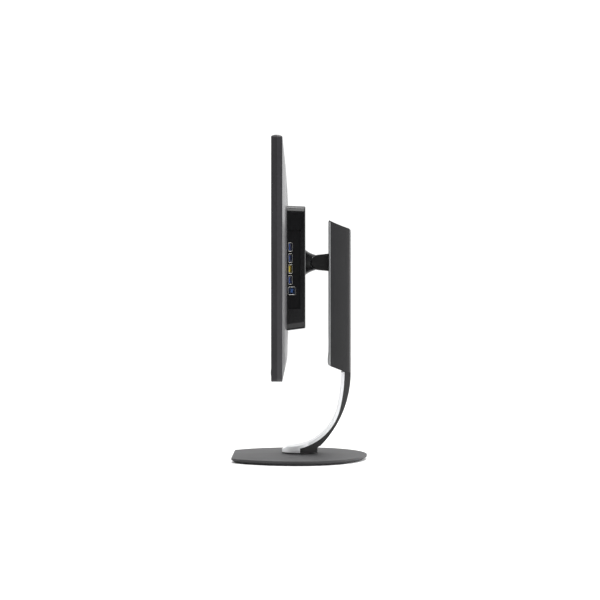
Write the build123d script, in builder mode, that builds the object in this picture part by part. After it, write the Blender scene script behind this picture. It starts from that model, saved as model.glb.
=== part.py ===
"""A 27-inch desktop monitor on a height-adjustable stand, as an assembly of separate pieces.

Millimetres. +Z is up, the screen faces -Y, X runs across the screen. The origin is on the desk,
under the middle of the base and on the swivel axis.
"""

import math
import os

from build123d import *

os.makedirs("parts", exist_ok=True)

# ---------------------------------------------------------------- driving dimensions
# Screen head
HEAD_WIDTH = 636.0
HEAD_HEIGHT = 385.0
AXIS_Z = 340.0  # height of the pivot and tilt axes, and of the head's middle
FRONT_Y = -45.0  # front face of the bezel
SEAM_Y = -35.5  # bezel meets rear cover
EDGE_BACK_Y = -27.5  # rear edge of the head's sides
BEZEL_SIDE = 19.0
BEZEL_TOP = 20.0
BEZEL_BOTTOM = 28.0
SKIN = 2.2  # moulded wall thickness

# Rear cover: two shallow steps, each a level and an outline (half width, bottom z, top z)
STEP_ONE = (-24.0, 296.0, 164.0, 486.0)
STEP_TWO = (-21.5, 170.0, 216.0, 436.0)

# Electronics housing on the rear cover
HOUSING_HALF = 150.0
HOUSING_FRONT_Z = (224.0, 431.0)
HOUSING_REAR_Z = (228.0, 430.0)
HOUSING_BACK_Y = 9.0
HOUSING_CORNER = 11.0

# Mounting recess, to the 100 mm flat-panel mounting pattern
VESA = 100.0
RECESS_SIDE = 122.0
RECESS_FLOOR_Y = 5.5
PLATE_SIDE = 84.0
PLATE_BACK_Y = 8.5

# Tilt hinge and arm
TILT_Y = 32.0
NOSE_RADIUS = 13.0
ARM_HALF = 20.0
ARM_ROOT_HALF_HEIGHT = 15.0
AXLE_RADIUS = 4.0
AXLE_HALF = 17.5
RUNNING = 0.05  # radial clearance of a running fit

# Column
COLUMN_HALF = 38.0
COLUMN_FRONT_Y = 49.7
COLUMN_BACK_Y = 87.3
COLUMN_PLATE = 2.6  # thickness of the front cover
COLUMN_SIDE_RADIUS = 170.0
SLOT_HALF = 21.5
SLOT_Z = (216.0, 404.0)

# Neck
NECK_HALF = 27.0
NECK_TOP_Z = 151.0
TRIM_THICKNESS = 5.0

# Foot and base
FOOT_RADIUS = 31.0
FOOT_Z = (10.3, 12.4)
BASE_HALF = 145.0
BASE_FRONT = -116.0
BASE_BACK = 116.0
BASE_RIM_Z = 8.0
BASE_CROWN_Z = 10.0
BASE_BOTTOM_Z = 1.6

HEAD_LOW = AXIS_Z - HEAD_HEIGHT / 2
HEAD_HIGH = AXIS_Z + HEAD_HEIGHT / 2
WINDOW_LOW = HEAD_LOW + BEZEL_BOTTOM
WINDOW_HIGH = HEAD_HIGH - BEZEL_TOP
WINDOW_WIDTH = HEAD_WIDTH - 2 * BEZEL_SIDE
WINDOW_MIDDLE = (WINDOW_LOW + WINDOW_HIGH) / 2
WINDOW_HEIGHT = WINDOW_HIGH - WINDOW_LOW

RECESS_WIDTH = 0.9  # arm of a driver recess

ALONG_X = (0, 90, 0)  # rotation that lays a cylinder along X
ALONG_Y = (90, 0, 0)  # rotation that lays a cylinder along Y


# ---------------------------------------------------------------- helpers
def save(builder, name):
    """Labels a finished piece and writes its STEP file."""
    builder.part.label = name
    export_step(builder.part, f"parts/{name}.step")


def facing_front(y):
    """A plane across the screen at depth y: its x is X, its y is Z, and it looks forward."""
    return Plane.XZ.offset(-y)


def block(x, y, z, mode=Mode.ADD):
    """A box between two values on each axis."""
    low = (min(x), min(y), min(z))
    size = (abs(x[1] - x[0]), abs(y[1] - y[0]), abs(z[1] - z[0]))
    with Locations(low):
        Box(*size, align=(Align.MIN, Align.MIN, Align.MIN), mode=mode)


def rod(radius, start, end, mode=Mode.ADD):
    """A round bar between two points that differ along one axis."""
    middle = tuple((a + b) / 2 for a, b in zip(start, end))
    length = max(abs(b - a) for a, b in zip(start, end))
    turn = (0, 0, 0)
    if start[0] != end[0]:
        turn = ALONG_X
    elif start[1] != end[1]:
        turn = ALONG_Y
    with Locations(middle):
        Cylinder(radius, length, rotation=turn, mode=mode)


def around(middle, width):
    """The two ends of a width centred on a value."""
    return (middle - width / 2, middle + width / 2)


def cross_recess(x, z, floor_y, length):
    """Cuts a cross-shaped driver recess into a screw head that faces +Y."""
    for wide, high in ((length, RECESS_WIDTH), (RECESS_WIDTH, length)):
        block(around(x, wide), (floor_y, floor_y + 4), around(z, high), mode=Mode.SUBTRACT)


def panel_outline(half_width, low, high, radius):
    """A rounded rectangle on a plane across the screen."""
    with Locations((0, (low + high) / 2)):
        RectangleRounded(2 * half_width, high - low, radius)


# ---------------------------------------------------------------- base
def base_outline(inset=0.0):
    """Plan of the base: a straight front edge, wide round sides and a rounded back, as tangent arcs."""
    back_side = 100.0
    rise, half = BASE_BACK, BASE_HALF
    # the back arc's radius follows from meeting the side arc in a common tangent
    back = ((half - back_side) ** 2 + rise**2 - back_side**2) / (2 * (rise - back_side))
    to_side = Vector(half - back_side, back - rise).normalized()
    join = Vector(half - back_side, 0) + to_side * back_side
    front_side = 147.4
    corner_x = half - front_side + math.sqrt(front_side**2 - BASE_FRONT**2)
    middle_angle = math.atan2(BASE_FRONT, corner_x - (half - front_side)) / 2
    shoulder = (
        half - front_side + front_side * math.cos(middle_angle),
        front_side * math.sin(middle_angle),
    )
    bulge_angle = math.atan2(join.Y, join.X - (half - back_side)) / 2
    hip = (half - back_side + back_side * math.cos(bulge_angle), back_side * math.sin(bulge_angle))
    with BuildLine() as edge:
        Line((0, BASE_FRONT), (corner_x, BASE_FRONT))
        ThreePointArc((corner_x, BASE_FRONT), shoulder, (half, 0))
        ThreePointArc((half, 0), hip, (join.X, join.Y))
        RadiusArc((join.X, join.Y), (0, rise), -back)
        mirror(about=Plane.YZ)
    make_face(edge.edges())
    fillet(vertices().filter_by_position(Axis.Y, BASE_FRONT - 1, BASE_FRONT + 1), 22)
    if inset:
        offset(amount=-inset, mode=Mode.REPLACE)


CROWN_RADIUS = BASE_HALF**2 / (2 * (BASE_CROWN_Z - BASE_RIM_Z))
RACE_RADIUS = 27.0
SCREW_RADIUS = 5.0

with BuildPart() as base_cover:
    with BuildSketch(Plane.XY.offset(BASE_BOTTOM_Z)):
        base_outline()
    extrude(amount=BASE_CROWN_Z + 2 - BASE_BOTTOM_Z)
    chamfer(base_cover.edges().group_by(Axis.Z)[0], length=3.6, length2=5.2)
    with Locations((0, 0, BASE_CROWN_Z - CROWN_RADIUS)):
        Sphere(CROWN_RADIUS, mode=Mode.INTERSECT)
    fillet(base_cover.edges().filter_by_position(Axis.Z, 6.0, 8.8).group_by(Axis.Z)[-1], 0.8)
    with BuildSketch(Plane.XY):
        base_outline(inset=9.0)
    extrude(amount=5.8, mode=Mode.SUBTRACT)
    rod(15, (0, 0, 3.4), (0, 0, 6.5))
    rod(RACE_RADIUS, (0, 0, 8.2), (0, 0, 12), mode=Mode.SUBTRACT)
    rod(SCREW_RADIUS + 1, (0, 0, 0), (0, 0, 12), mode=Mode.SUBTRACT)
save(base_cover, "base_cover")

with BuildPart() as base_weight:
    with BuildSketch(Plane.XY.offset(2.0)):
        base_outline(inset=9.4)
    extrude(amount=3.8)
    rod(16, (0, 0, 0), (0, 0, 8), mode=Mode.SUBTRACT)
save(base_weight, "base_weight")

FOOT_PAD_SPOTS = [(-84, -88), (84, -88), (-112, 30), (112, 30), (0, 92)]
with BuildPart() as base_feet:
    with Locations([(x, y, 1.0) for x, y in FOOT_PAD_SPOTS]):
        Cylinder(8, 2.0)
save(base_feet, "base_feet")

with BuildPart() as base_thumbscrew:
    rod(13, (0, 0, 1.0), (0, 0, 3.4))
    rod(SCREW_RADIUS, (0, 0, 3.4), (0, 0, 20))
    block((-9, 9), (-0.8, 0.8), (0, 2.2), mode=Mode.SUBTRACT)
    fillet(base_thumbscrew.edges().filter_by(GeomType.CIRCLE).group_by(Axis.Z)[0], 0.5)
save(base_thumbscrew, "base_thumbscrew")

with BuildPart() as swivel_race:
    rod(RACE_RADIUS - 0.1, (0, 0, 8.2), (0, 0, FOOT_Z[0]))
    rod(SCREW_RADIUS + 1, (0, 0, 8), (0, 0, 12), mode=Mode.SUBTRACT)
    with PolarLocations(16, 8):
        Cylinder(3, 30, mode=Mode.SUBTRACT)
save(swivel_race, "swivel_race")

# ---------------------------------------------------------------- foot and neck
with BuildPart() as foot_disc:
    rod(FOOT_RADIUS, (0, 0, FOOT_Z[0]), (0, 0, FOOT_Z[1]))
    rod(SCREW_RADIUS + RUNNING, (0, 0, 8), (0, 0, 15), mode=Mode.SUBTRACT)
    fillet(foot_disc.edges().group_by(Axis.Z)[0].sort_by(SortBy.LENGTH)[-1], 0.6)
save(foot_disc, "foot_disc")

# Side view of the neck: the joint between frame and trim runs down two arcs that meet in a common
# tangent, the trim's front is parallel to it, and the frame's back is one arc.
NECK_JOINT_TOP = Vector(76.4, 150.0)
UPPER_RADIUS = 260.0
UPPER_TURN = 14.0  # degrees
LOWER_RADIUS = 91.5
BACK_RADIUS = 178.0
HEEL_Y = 30.0
HEEL_Z = 21.4
TOE_Y = -22.0
TRIM_FRONT_Y = NECK_JOINT_TOP.X - TRIM_THICKNESS

upper_centre = NECK_JOINT_TOP - Vector(UPPER_RADIUS, 0)
turn = math.radians(UPPER_TURN)
lower_centre = upper_centre + Vector(math.cos(turn), -math.sin(turn)) * (UPPER_RADIUS - LOWER_RADIUS)
back_centre = Vector(COLUMN_BACK_Y - BACK_RADIUS, NECK_JOINT_TOP.Y)


def below(centre, radius, y):
    """The point of an arc's lower half at a given depth."""
    return Vector(y, centre.Y - math.sqrt(radius**2 - (y - centre.X) ** 2))


def arc_about(centre, start, end):
    """An arc about centre between two points that lie on it."""
    towards = (start - centre).normalized() + (end - centre).normalized()
    via = centre + towards.normalized() * (start - centre).length
    return ThreePointArc((start.X, start.Y), (via.X, via.Y), (end.X, end.Y))


def neck_front(inset, end_y):
    """The two front arcs from the top down, moved forward by inset, ending at depth end_y."""
    start = NECK_JOINT_TOP - Vector(inset, 0)
    bend = upper_centre + Vector(math.cos(turn), -math.sin(turn)) * (UPPER_RADIUS - inset)
    arc_about(upper_centre, start, bend)
    arc_about(lower_centre, bend, below(lower_centre, LOWER_RADIUS - inset, end_y))


joint_low = below(lower_centre, LOWER_RADIUS, 0.0)
toe = below(lower_centre, LOWER_RADIUS - TRIM_THICKNESS, TOE_Y)
back_top = Vector(COLUMN_BACK_Y, NECK_JOINT_TOP.Y)
back_low = below(back_centre, BACK_RADIUS, 35.5)


def foot_plan(radius):
    """Plan of the neck's lower end: the round foot and the neck behind it."""
    Circle(radius)
    with Locations((0, 100)):
        Rectangle(2 * NECK_HALF, 200)


with BuildPart() as neck_frame:
    with BuildSketch(Plane.YZ):
        with BuildLine() as frame_side:
            Line((0, FOOT_Z[1]), (joint_low.X, joint_low.Y))
            neck_front(0.0, 0.0)
            Line((NECK_JOINT_TOP.X, NECK_JOINT_TOP.Y), (NECK_JOINT_TOP.X, NECK_TOP_Z))
            Line((NECK_JOINT_TOP.X, NECK_TOP_Z), (COLUMN_BACK_Y, NECK_TOP_Z))
            Line((COLUMN_BACK_Y, NECK_TOP_Z), (back_top.X, back_top.Y))
            arc_about(back_centre, back_top, back_low)
            Polyline((back_low.X, back_low.Y), (HEEL_Y, HEEL_Z), (HEEL_Y, FOOT_Z[1]), (0, FOOT_Z[1]))
        make_face()
    extrude(amount=NECK_HALF, both=True)
    with BuildSketch(Plane.XY.offset(FOOT_Z[1])):
        foot_plan(FOOT_RADIUS - 1)
    extrude(amount=NECK_TOP_Z, mode=Mode.INTERSECT)
    back_arcs = neck_frame.edges().filter_by(GeomType.CIRCLE)
    fillet(back_arcs.filter_by(lambda e: abs(e.radius - BACK_RADIUS) < 0.01), 1.5)
    block((-16, 16), (77.8, 84.8), (NECK_TOP_Z, NECK_TOP_Z + 14))
    rod(SCREW_RADIUS + RUNNING, (0, 0, 8), (0, 0, 20.2), mode=Mode.SUBTRACT)
save(neck_frame, "neck_frame")

with BuildPart() as neck_front_trim:
    with BuildSketch(Plane.YZ):
        with BuildLine() as trim_side:
            Line((0, FOOT_Z[1]), (joint_low.X, joint_low.Y))
            neck_front(0.0, 0.0)
            Line((NECK_JOINT_TOP.X, NECK_JOINT_TOP.Y), (NECK_JOINT_TOP.X, NECK_TOP_Z))
            Line((NECK_JOINT_TOP.X, NECK_TOP_Z), (TRIM_FRONT_Y, NECK_TOP_Z))
            Line((TRIM_FRONT_Y, NECK_TOP_Z), (TRIM_FRONT_Y, NECK_JOINT_TOP.Y))
            neck_front(TRIM_THICKNESS, TOE_Y)
            Polyline((toe.X, toe.Y), (-FOOT_RADIUS, 17.0), (-FOOT_RADIUS, FOOT_Z[1]), (0, FOOT_Z[1]))
        make_face()
    extrude(amount=FOOT_RADIUS + 1, both=True)
    with BuildSketch(Plane.XY.offset(FOOT_Z[1])):
        foot_plan(FOOT_RADIUS)
    extrude(amount=NECK_TOP_Z, mode=Mode.INTERSECT)
    rod(SCREW_RADIUS + RUNNING, (0, 0, 8), (0, 0, 20.2), mode=Mode.SUBTRACT)
save(neck_front_trim, "neck_front_trim")

# ---------------------------------------------------------------- column
CAP_THICKNESS = 2.4
TOP_FRONT = (COLUMN_FRONT_Y, 411.5)
TOP_BACK = (COLUMN_BACK_Y, 396.5)
LOW_FRONT = (COLUMN_FRONT_Y, 162.5)
LOW_MIDDLE = (72.0, 153.6)


def column_side(top_drop=0.0):
    """Side view of the column, its top lowered by top_drop."""
    front_top = (COLUMN_FRONT_Y, TOP_FRONT[1] - top_drop)
    back_top = (COLUMN_BACK_Y, TOP_BACK[1] - top_drop)
    middle = ((front_top[0] + back_top[0]) / 2, (front_top[1] + back_top[1]) / 2 - 0.8)
    with BuildLine() as outline:
        Line(LOW_FRONT, front_top)
        ThreePointArc(front_top, middle, back_top)
        Line(back_top, (COLUMN_BACK_Y, NECK_TOP_Z))
        Line((COLUMN_BACK_Y, NECK_TOP_Z), (NECK_JOINT_TOP.X, NECK_TOP_Z))
        Line((NECK_JOINT_TOP.X, NECK_TOP_Z), LOW_MIDDLE)
        Line(LOW_MIDDLE, LOW_FRONT)
    make_face(outline.edges())
    fillet(vertices().sort_by_distance(back_top)[0], 6.0)


def column_section(inset=0.0):
    """Plan of the column behind its front cover: sides that curve in a little and a rounded back."""
    front = COLUMN_FRONT_Y + COLUMN_PLATE
    back = COLUMN_BACK_Y - inset
    half = COLUMN_HALF - inset
    radius = COLUMN_SIDE_RADIUS - inset

    def side_x(y):
        return half - radius + math.sqrt(radius**2 - (y - front) ** 2)

    middle = (front + back) / 2
    with BuildLine() as outline:
        Line((-half, front), (half, front))
        ThreePointArc((half, front), (side_x(middle), middle), (side_x(back), back))
        Line((side_x(back), back), (-side_x(back), back))
        ThreePointArc((-side_x(back), back), (-side_x(middle), middle), (-half, front))
    make_face(outline.edges())
    fillet(vertices().group_by(Axis.Y)[-1], 8.0 - inset)


with BuildPart() as column_shell:
    with BuildSketch(Plane.YZ):
        column_side(top_drop=CAP_THICKNESS)
    extrude(amount=COLUMN_HALF + 2, both=True)
    with BuildSketch(Plane.XY.offset(140)):
        column_section()
    extrude(amount=300, mode=Mode.INTERSECT)
    with BuildSketch(Plane.XY.offset(166)):
        column_section(inset=2.4)
    extrude(amount=300, mode=Mode.SUBTRACT)
    block((-16, 16), (77.8, 84.8), (140, 170), mode=Mode.SUBTRACT)
save(column_shell, "column_shell")

with BuildPart() as column_front_cover:
    with BuildSketch(Plane.YZ):
        with BuildLine():
            Polyline(
                (COLUMN_FRONT_Y, TOP_FRONT[1] - CAP_THICKNESS),
                (COLUMN_FRONT_Y, 186),
                (COLUMN_FRONT_Y - 1.2, 172),
                (COLUMN_FRONT_Y - 1.2, 163.4),
                (COLUMN_FRONT_Y + COLUMN_PLATE, 161.6),
                (COLUMN_FRONT_Y + COLUMN_PLATE, TOP_FRONT[1] - CAP_THICKNESS - 1.3),
                close=True,
            )
        make_face()
        fillet(vertices().group_by(Axis.Y)[1], 1.6)
    extrude(amount=COLUMN_HALF, both=True)
    with BuildSketch(facing_front(COLUMN_FRONT_Y - 5)):
        with Locations((0, sum(SLOT_Z) / 2)):
            RectangleRounded(2 * SLOT_HALF, SLOT_Z[1] - SLOT_Z[0], 3)
    extrude(amount=-10, mode=Mode.SUBTRACT)
    upright = column_front_cover.edges().filter_by(Axis.Z).group_by(Axis.Y)[1]
    fillet(upright.filter_by(lambda e: abs(e.center().X) > COLUMN_HALF - 2), 1.2)
save(column_front_cover, "column_front_cover")

with BuildPart() as column_top_cap:
    with BuildSketch(Plane.YZ):
        column_side()
    extrude(amount=COLUMN_HALF + 2, both=True)
    with BuildSketch(Plane.YZ):
        column_side(top_drop=CAP_THICKNESS)
    extrude(amount=COLUMN_HALF + 4, both=True, mode=Mode.SUBTRACT)
    with BuildSketch(Plane.XY.offset(380)):
        column_section()
        with Locations((0, COLUMN_FRONT_Y + COLUMN_PLATE / 2)):
            Rectangle(2 * COLUMN_HALF, COLUMN_PLATE)
    extrude(amount=60, mode=Mode.INTERSECT)
save(column_top_cap, "column_top_cap")

CHANNEL_HALF = 27.0
CHANNEL_WALL = 1.6
CHANNEL_Y = (56.0, 82.0)
CHANNEL_Z = (167.0, 392.0)
inner_half = CHANNEL_HALF - CHANNEL_WALL
with BuildPart() as column_channel:
    block((-CHANNEL_HALF, CHANNEL_HALF), CHANNEL_Y, CHANNEL_Z)
    block(
        (-inner_half, inner_half),
        (CHANNEL_Y[0] - 1, CHANNEL_Y[1] - CHANNEL_WALL),
        (CHANNEL_Z[0] - 1, CHANNEL_Z[1] + 1),
        mode=Mode.SUBTRACT,
    )
    for z in (180, 280, 380):
        rod(2.2, (0, 70, z), (0, 90, z), mode=Mode.SUBTRACT)
save(column_channel, "column_channel")

with BuildPart() as column_screws:
    for z in (180, 280, 380):
        rod(2.0, (0, CHANNEL_Y[1] - CHANNEL_WALL - 0.1, z), (0, 84.9, z))
        rod(3.4, (0, CHANNEL_Y[1] - CHANNEL_WALL - 1.0, z), (0, CHANNEL_Y[1] - CHANNEL_WALL, z))
save(column_screws, "column_screws")

# ---------------------------------------------------------------- carriage and lift springs
CARRIAGE_HALF = 23.0
CARRIAGE_Y = (62.0, 76.0)
CARRIAGE_Z = (AXIS_Z - 26, AXIS_Z + 12)
SPOOL_Y = 69.5
SPOOL_Z = 300.0
COIL_RADIUS = 10.0
SPOOL_AXLE_RADIUS = 3.0
COIL_X = (4.0, 19.0)
STRIP_THICKNESS = 0.3
STRIP_TOP_Z = 390.0
LIFT_DOWN = 100.0  # how far the carriage travels below the modelled height

with BuildPart() as lift_carriage:
    block((-CARRIAGE_HALF, CARRIAGE_HALF), CARRIAGE_Y, CARRIAGE_Z)
    for side in (-1, 1):
        block(
            (side * 20.2, side * CARRIAGE_HALF),
            (SPOOL_Y - 6.5, SPOOL_Y + 6.5),
            (SPOOL_Z - 6, CARRIAGE_Z[0]),
        )
    rod(SPOOL_AXLE_RADIUS, (-40, SPOOL_Y, SPOOL_Z), (40, SPOOL_Y, SPOOL_Z), mode=Mode.SUBTRACT)
    with Locations([(x, CARRIAGE_Y[0], z) for x in (-14, 14) for z in (330, 350)]):
        Cylinder(2.5, 20, rotation=ALONG_Y, mode=Mode.SUBTRACT)
save(lift_carriage, "lift_carriage")

with BuildPart() as glide_pads:
    for side in (-1, 1):
        for z in (CARRIAGE_Z[0] + 2, CARRIAGE_Z[1] - 12):
            block((side * CARRIAGE_HALF, side * (inner_half - 0.1)), (64, 74), (z, z + 10))
save(glide_pads, "glide_pads")

with BuildPart() as spool_axle:
    rod(
        SPOOL_AXLE_RADIUS,
        (-CARRIAGE_HALF, SPOOL_Y, SPOOL_Z),
        (CARRIAGE_HALF, SPOOL_Y, SPOOL_Z),
    )
save(spool_axle, "spool_axle")

with BuildPart() as lift_spring_coils:
    for side in (-1, 1):
        rod(
            COIL_RADIUS,
            (side * COIL_X[0], SPOOL_Y, SPOOL_Z),
            (side * COIL_X[1], SPOOL_Y, SPOOL_Z),
        )
    rod(
        SPOOL_AXLE_RADIUS + RUNNING,
        (-40, SPOOL_Y, SPOOL_Z),
        (40, SPOOL_Y, SPOOL_Z),
        mode=Mode.SUBTRACT,
    )
save(lift_spring_coils, "lift_spring_coils")

with BuildPart() as lift_spring_strips:
    strip_y = SPOOL_Y + COIL_RADIUS + 0.05
    for side in (-1, 1):
        block(
            (side * (COIL_X[0] + 1), side * (COIL_X[1] - 1)),
            (strip_y, strip_y + STRIP_THICKNESS),
            (SPOOL_Z - LIFT_DOWN, STRIP_TOP_Z),
        )
save(lift_spring_strips, "lift_spring_strips")

# ---------------------------------------------------------------- arm and tilt hinge
KNUCKLE_HALF = 8.0
CHEEK_IN = 9.5

nose = Vector(TILT_Y, AXIS_Z)
root_y = COLUMN_FRONT_Y + 0.3
reach = Vector(root_y - TILT_Y, ARM_ROOT_HALF_HEIGHT)
touch_angle = math.atan2(reach.Y, reach.X) + math.acos(NOSE_RADIUS / reach.length)
touch = (
    NOSE_RADIUS * math.cos(touch_angle),
    NOSE_RADIUS * math.sin(touch_angle),
)

with BuildPart() as hinge_arm:
    with BuildSketch(Plane.YZ):
        with BuildLine():
            ThreePointArc(
                (TILT_Y + touch[0], AXIS_Z - touch[1]),
                (TILT_Y - NOSE_RADIUS, AXIS_Z),
                (TILT_Y + touch[0], AXIS_Z + touch[1]),
            )
            Polyline(
                (TILT_Y + touch[0], AXIS_Z + touch[1]),
                (root_y, AXIS_Z + ARM_ROOT_HALF_HEIGHT),
                (CARRIAGE_Y[0], AXIS_Z + ARM_ROOT_HALF_HEIGHT),
                (CARRIAGE_Y[0], AXIS_Z - ARM_ROOT_HALF_HEIGHT),
                (root_y, AXIS_Z - ARM_ROOT_HALF_HEIGHT),
                (TILT_Y + touch[0], AXIS_Z - touch[1]),
            )
        make_face()
    extrude(amount=ARM_HALF, both=True)
    outer = hinge_arm.edges().filter_by(lambda e: abs(abs(e.center().X) - ARM_HALF) < 0.01)
    fillet(outer.filter_by(lambda e: e.center().Y < COLUMN_FRONT_Y), 1.5)
    block((-CHEEK_IN, CHEEK_IN), (0, TILT_Y + 10), (300, 380), mode=Mode.SUBTRACT)
    rod(AXLE_RADIUS, (-AXLE_HALF, TILT_Y, AXIS_Z), (AXLE_HALF, TILT_Y, AXIS_Z), mode=Mode.SUBTRACT)
save(hinge_arm, "hinge_arm")

with BuildPart() as tilt_axle:
    rod(AXLE_RADIUS, (-AXLE_HALF, TILT_Y, AXIS_Z), (AXLE_HALF, TILT_Y, AXIS_Z))
save(tilt_axle, "tilt_axle")

with BuildPart() as tilt_washers:
    for side in (-1, 1):
        rod(8.2, (side * 8.1, TILT_Y, AXIS_Z), (side * 9.45, TILT_Y, AXIS_Z))
    rod(AXLE_RADIUS, (-40, TILT_Y, AXIS_Z), (40, TILT_Y, AXIS_Z), mode=Mode.SUBTRACT)
save(tilt_washers, "tilt_washers")

SPINDLE_RADIUS = 8.0
FLANGE_Y = (PLATE_BACK_Y + 0.5, PLATE_BACK_Y + 2.7)
with BuildPart() as tilt_yoke:
    rod(17.6, (0, FLANGE_Y[0], AXIS_Z), (0, FLANGE_Y[1], AXIS_Z))
    block((-KNUCKLE_HALF, KNUCKLE_HALF), (FLANGE_Y[1], TILT_Y), (AXIS_Z - 7, AXIS_Z + 7))
    rod(8.6, (-KNUCKLE_HALF, TILT_Y, AXIS_Z), (KNUCKLE_HALF, TILT_Y, AXIS_Z))
    rod(AXLE_RADIUS + RUNNING, (-40, TILT_Y, AXIS_Z), (40, TILT_Y, AXIS_Z), mode=Mode.SUBTRACT)
    rod(SPINDLE_RADIUS, (0, 0, AXIS_Z), (0, FLANGE_Y[1] + 2, AXIS_Z), mode=Mode.SUBTRACT)
save(tilt_yoke, "tilt_yoke")

SPINDLE_FRONT_Y = 2.6
with BuildPart() as pivot_spindle:
    rod(SPINDLE_RADIUS, (0, SPINDLE_FRONT_Y, AXIS_Z), (0, FLANGE_Y[1] + 2, AXIS_Z))
    rod(12, (0, SPINDLE_FRONT_Y, AXIS_Z), (0, RECESS_FLOOR_Y - 0.3, AXIS_Z))
save(pivot_spindle, "pivot_spindle")

COVER_FRONT_Y = PLATE_BACK_Y + 0.4
COVER_BACK_Y = 27.0
with BuildPart() as hinge_cover:
    with BuildSketch(Plane.XY):
        with BuildLine():
            Line((20.6, COVER_FRONT_Y), (22.4, COVER_FRONT_Y))
            ThreePointArc((22.4, COVER_FRONT_Y), (17.2, 16.5), (13.2, COVER_BACK_Y))
            Line((13.2, COVER_BACK_Y), (11.4, COVER_BACK_Y))
            ThreePointArc((11.4, COVER_BACK_Y), (15.3, 16.5), (20.6, COVER_FRONT_Y))
        make_face()
    revolve(axis=Axis.Y)
    rod(NOSE_RADIUS + 0.5, (-40, TILT_Y, 0), (40, TILT_Y, 0), mode=Mode.SUBTRACT)
hinge_cover.part.position += (0, 0, AXIS_Z)
save(hinge_cover, "hinge_cover")

# ---------------------------------------------------------------- mounting plate and pattern
SCREW_SPOTS = [(x, AXIS_Z + z) for x in (-32, 32) for z in (-32, 32)]
VESA_SPOTS = [(x, AXIS_Z + z) for x in (-VESA / 2, VESA / 2) for z in (-VESA / 2, VESA / 2)]

with BuildPart() as mount_plate:
    with BuildSketch(facing_front(PLATE_BACK_Y)):
        with Locations((0, AXIS_Z)):
            RectangleRounded(PLATE_SIDE, PLATE_SIDE, 8)
            Circle(SPINDLE_RADIUS + RUNNING, mode=Mode.SUBTRACT)
        with Locations(SCREW_SPOTS):
            Circle(2.2, mode=Mode.SUBTRACT)
    extrude(amount=PLATE_BACK_Y - RECESS_FLOOR_Y)
    for x, z in SCREW_SPOTS:
        rod(4.2, (x, PLATE_BACK_Y - 1.8, z), (x, PLATE_BACK_Y + 1, z), mode=Mode.SUBTRACT)
save(mount_plate, "mount_plate")

with BuildPart() as mount_screws:
    for x, z in SCREW_SPOTS:
        rod(2.0, (x, -3.0, z), (x, PLATE_BACK_Y - 1.8, z))
        rod(3.9, (x, PLATE_BACK_Y - 1.8, z), (x, PLATE_BACK_Y - 0.1, z))
        cross_recess(x, z, PLATE_BACK_Y - 0.9, 4.8)
save(mount_screws, "mount_screws")

INSERT_RADIUS = 3.6
M4_RADIUS = 2.0
with BuildPart() as vesa_inserts:
    for x, z in VESA_SPOTS:
        rod(INSERT_RADIUS, (x, -5.0, z), (x, RECESS_FLOOR_Y, z))
        rod(M4_RADIUS, (x, -4.0, z), (x, RECESS_FLOOR_Y + 1, z), mode=Mode.SUBTRACT)
save(vesa_inserts, "vesa_inserts")

RELEASE_Z = (283.5, 293.5)
RELEASE_HALF = 14.0
with BuildPart() as release_button:
    block((-RELEASE_HALF, RELEASE_HALF), (RECESS_FLOOR_Y + 0.2, PLATE_BACK_Y), RELEASE_Z)
    fillet(release_button.edges().filter_by(Axis.Y), 2.0)
    for z in (286.5, 288.5, 290.5):
        block((-8, 8), (PLATE_BACK_Y - 0.4, PLATE_BACK_Y + 1), (z - 0.4, z + 0.4), mode=Mode.SUBTRACT)
save(release_button, "release_button")

# ---------------------------------------------------------------- chassis and boards
HOUSING_SCREW_SPOTS = [(x, z) for x in (-134, 134) for z in (244, 416)]
CHASSIS_Y = (RECESS_FLOOR_Y - SKIN - 1.2, RECESS_FLOOR_Y - SKIN)
with BuildPart() as chassis_plate:
    block((-136, 136), CHASSIS_Y, (244, 420))
    for side in (-1, 1):
        block((side * 134.8, side * 136), (-30, CHASSIS_Y[0]), (250, 414))
        for z in (250, 402):
            block((side * 134.8, side * 146), (-31.2, -30), (z, z + 12))
    rod(14, (0, -10, AXIS_Z), (0, 10, AXIS_Z), mode=Mode.SUBTRACT)
    for x, z in SCREW_SPOTS:
        rod(2.0, (x, -10, z), (x, 10, z), mode=Mode.SUBTRACT)
    for x, z in VESA_SPOTS:
        rod(INSERT_RADIUS, (x, -10, z), (x, 10, z), mode=Mode.SUBTRACT)
    for x, z in HOUSING_SCREW_SPOTS:
        rod(6.0, (x, -10, z), (x, 10, z), mode=Mode.SUBTRACT)
    block((130, 140), (-22, 1), (272, 380), mode=Mode.SUBTRACT)
save(chassis_plate, "chassis_plate")

BOARD_Y = (-11.6, -10.0)
# scaler with its heat sink, memory, connector and regulator: centre x and z, width, height, depth
CHIPS = [(50, 290, 28, 28, 4), (92, 286, 14, 18, 2), (20, 268, 12, 30, 6), (96, 316, 20, 10, 3)]
with BuildPart() as main_board:
    block((-18, 124), BOARD_Y, (248, 330))
    for x, z, wide, high, deep in CHIPS:
        block(around(x, wide), (BOARD_Y[0] - deep, BOARD_Y[0]), around(z, high))
save(main_board, "main_board")

with BuildPart() as power_board:
    block((-130, -26), BOARD_Y, (256, 330))
    block((-80, -50), (BOARD_Y[0] - 14, BOARD_Y[0]), (262, 290))
    rod(8, (-112, BOARD_Y[0] - 12, 300), (-112, BOARD_Y[0], 300))
    rod(5, (-90, BOARD_Y[0] - 12, 312), (-90, BOARD_Y[0], 312))
    rod(5, (-76, BOARD_Y[0] - 12, 312), (-76, BOARD_Y[0], 312))
    block((-60, -36), (BOARD_Y[0] - 16, BOARD_Y[0]), (302, 306))
save(power_board, "power_board")

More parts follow.
